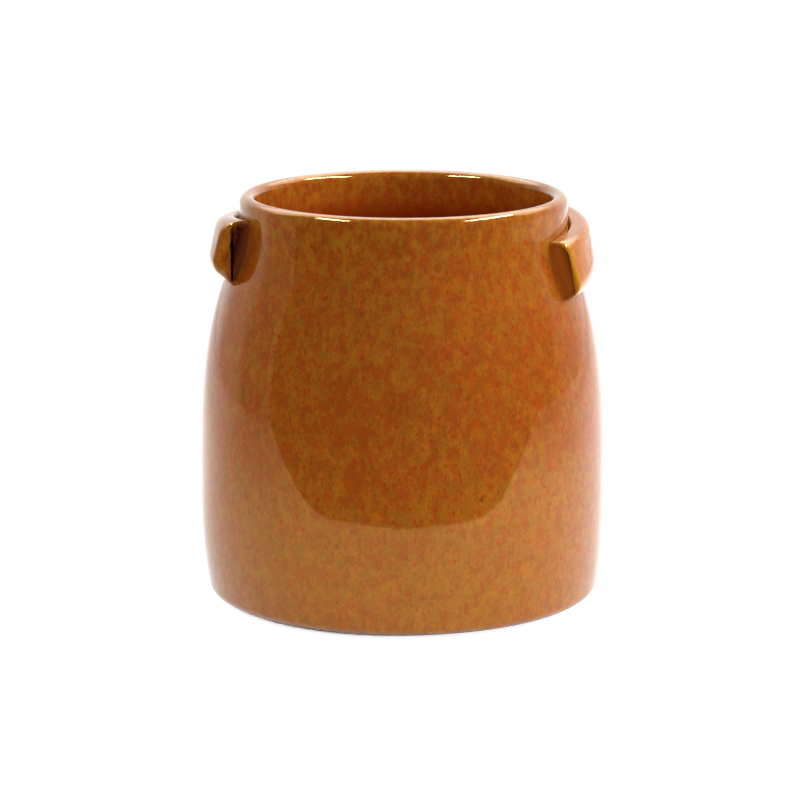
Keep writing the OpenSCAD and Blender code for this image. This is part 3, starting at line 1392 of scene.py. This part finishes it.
    def table_white(self) -> bpy.types.Material:
        """White laminate that keeps the jar's shadow and has a painted shadow near it, with the light that
        the glaze mirrors from it.

        Returns:
            The material.
        """
        material, graph = new_material("table_white")
        place = graph.add("ShaderNodeTexCoord").outputs["Object"]
        x, y, _ = graph.add("ShaderNodeSeparateXYZ", {"Vector": place}).outputs
        away = graph.from_axis(x, y)
        level = self.mirrored_table(graph, x, y, away)
        matt = graph.add("ShaderNodeBsdfDiffuse", {"Color": self.white}).outputs[0]
        shaded = self.shaded_table(graph, x, away).outputs[0]
        direct, glossy = graph.ray()
        seen = graph.add("ShaderNodeMixShader", {0: direct, 1: matt, 2: shaded}).outputs[0]
        mirrored = graph.add("ShaderNodeEmission", {"Color": (1, 1, 1, 1), "Strength": level})
        surface = graph.add("ShaderNodeMixShader", {0: glossy, 1: seen, 2: mirrored.outputs[0]})
        graph.add("ShaderNodeOutputMaterial", {"Surface": surface.outputs[0]})
        return material

    def mirrored_room(self, graph: Graph, degrees: Socket, back: Socket, rise: Socket) -> Socket:
        """The room's light as the glaze mirrors it.

        Args:
            graph: The world's nodes.
            degrees: Angle round the jar.
            back: Backward part of the direction.
            rise: Upward part of the direction.

        Returns:
            The light's strength.
        """
        right, left = graph.step(degrees, *self.right_wall), graph.step(degrees, *self.left_wall)
        walls = graph.maths("MAXIMUM", right, left)
        level = graph.maths("ADD", graph.step(degrees, *self.right_side), self.dark)
        level = graph.maths("ADD", level, graph.step(rise, *self.overhead))
        level = graph.maths("ADD", level, graph.step(degrees, *self.behind_left))
        for part in (self.pane, self.pane_bar):
            pane = graph.maths("MULTIPLY", graph.step(degrees, *part), graph.step(degrees, *self.pane_end))
            level = graph.maths("ADD", level, pane)
        level = graph.maths("MAXIMUM", level, walls)
        glow = graph.maths("ADD", graph.step(rise, *self.glow_above), self.glow)
        glow = graph.maths("MULTIPLY", glow, graph.step(rise, *self.glow_top))
        return graph.maths("MULTIPLY_ADD", glow, graph.step(back, *self.glow_back), level)

    def surroundings(self) -> None:
        """Makes the world: white to the camera, the room in the glaze, and soft light on the rest."""
        world = bpy.data.worlds.new("studio")
        bpy.context.scene.world = world
        world.use_nodes = True
        graph = Graph(world.node_tree)
        toward = graph.add("ShaderNodeTexCoord").outputs["Generated"]
        x, y, z = graph.add("ShaderNodeSeparateXYZ", {"Vector": toward}).outputs
        degrees = graph.maths("DEGREES", graph.maths("ARCTAN2", x, graph.maths("MULTIPLY", y, -1.0)))
        soft = graph.maths("ADD", graph.step(degrees, *self.soft_right), self.ambient)
        soft = graph.maths("ADD", soft, graph.step(z, *self.soft_above))
        direct, glossy = graph.ray()
        ambient, mirrored, white = (
            graph.add("ShaderNodeBackground", {"Color": (1, 1, 1, 1), "Strength": strength}).outputs[0]
            for strength in (soft, self.mirrored_room(graph, degrees, y, z), 1.0)
        )
        lit = graph.add("ShaderNodeMixShader", {0: glossy, 1: ambient, 2: mirrored}).outputs[0]
        mix = graph.add("ShaderNodeMixShader", {0: direct, 1: lit, 2: white})
        graph.add("ShaderNodeOutputWorld", {"Surface": mix.outputs[0]})

    def camera(self) -> None:
        """Sets the camera at the photograph's distance, height and lens."""
        data = bpy.data.cameras.new("camera")
        data.sensor_width = 36.0
        data.lens = self.lens
        data.shift_x = self.shift_x
        camera = add_object("camera", data)
        camera.location = self.camera_at
        aim = Vector((0, 0, self.aim_z))
        camera.rotation_euler = (aim - camera.location).to_track_quat("-Z", "Y").to_euler()
        bpy.context.scene.camera = camera

    def build(self) -> None:
        """Builds the whole studio."""
        self.table()
        self.surroundings()
        for lamp in self.lamps:
            lamp.hang()
        self.camera()
        bpy.context.scene.view_settings.view_transform = "Standard"


def main() -> None:
    """Builds the jar, its handles and the studio."""
    logging.basicConfig(level=logging.INFO, format="%(name)s: %(message)s")
    mottle, ripple = Mottle().build(), Ripple().build()
    wall = JarWall()
    right = Strap(
        node="handle_right",
        slot=Slot.RIGHT,
        azimuth=0.0,
        foot_z=212.0,
        bend_z=227.4,
        top_z=257.2,
        out=21.3,
        tilts=(0.0, 7.2, 4.4),
        lean_in=(6.1, 10.6),
        thickness=(5.0, 4.6),
        slant=(9.0, 11.6),
        bend_round=(24.0, 8.0),
        roof_round=(8.0, 10.5),
        foot_t=(2.6, 1.0),
        pool=(3.0, 1.8),
        end_depths=(1.6, 0.8, 0.3, 0.4),
        end_round=3.2,
        wall=wall,
    )
    left = Strap(
        node="handle_left",
        slot=Slot.LEFT,
        azimuth=173.0,
        foot_z=218.6,
        bend_z=226.2,
        top_z=260.5,
        out=21.2,
        tilts=(1.5, 6.5, 3.6),
        lean_in=(7.5, 8.5),
        thickness=(7.5, 12.7),
        slant=(0.0, 0.0),
        bend_round=(18.0, 10.5),
        roof_round=(4.0, 6.5),
        foot_t=(4.2, 1.4),
        pool=(3.0, 1.6),
        top_round=(9.0, 14.0),
        end_depths=(6.2, 4.5, 0.3, 0.5),
        end_round=6.4,
        end_thin=0.35,
        wall=wall,
    )
    jar_glaze = JarGlaze(Slot.JAR.value, straps=(right, left))
    # Painted light: the right strap's glaze is a lighter copy, for the light on that side.
    lit_right_glaze = Glaze(
        Slot.RIGHT.value,
        amber=(0.53, 0.175, 0.010, 1),
        russet=(0.51, 0.115, 0.008, 1),
        red=(0.47, 0.065, 0.005, 1),
    )
    # Painted shade: the left strap's slot is darker, with its own painted light deeper in.
    shaded_left_glaze = Glaze(Slot.LEFT.value, slot=(0.26, 0.07, 0.03, 1), painted_light_deep_slot=(1.0, 0.24, 0.10, 1))
    for piece, glaze in ((wall, jar_glaze), (right, lit_right_glaze), (left, shaded_left_glaze)):
        piece.build(glaze.build(mottle, ripple))
    Studio().build()


if __name__ == "__main__":
    main()
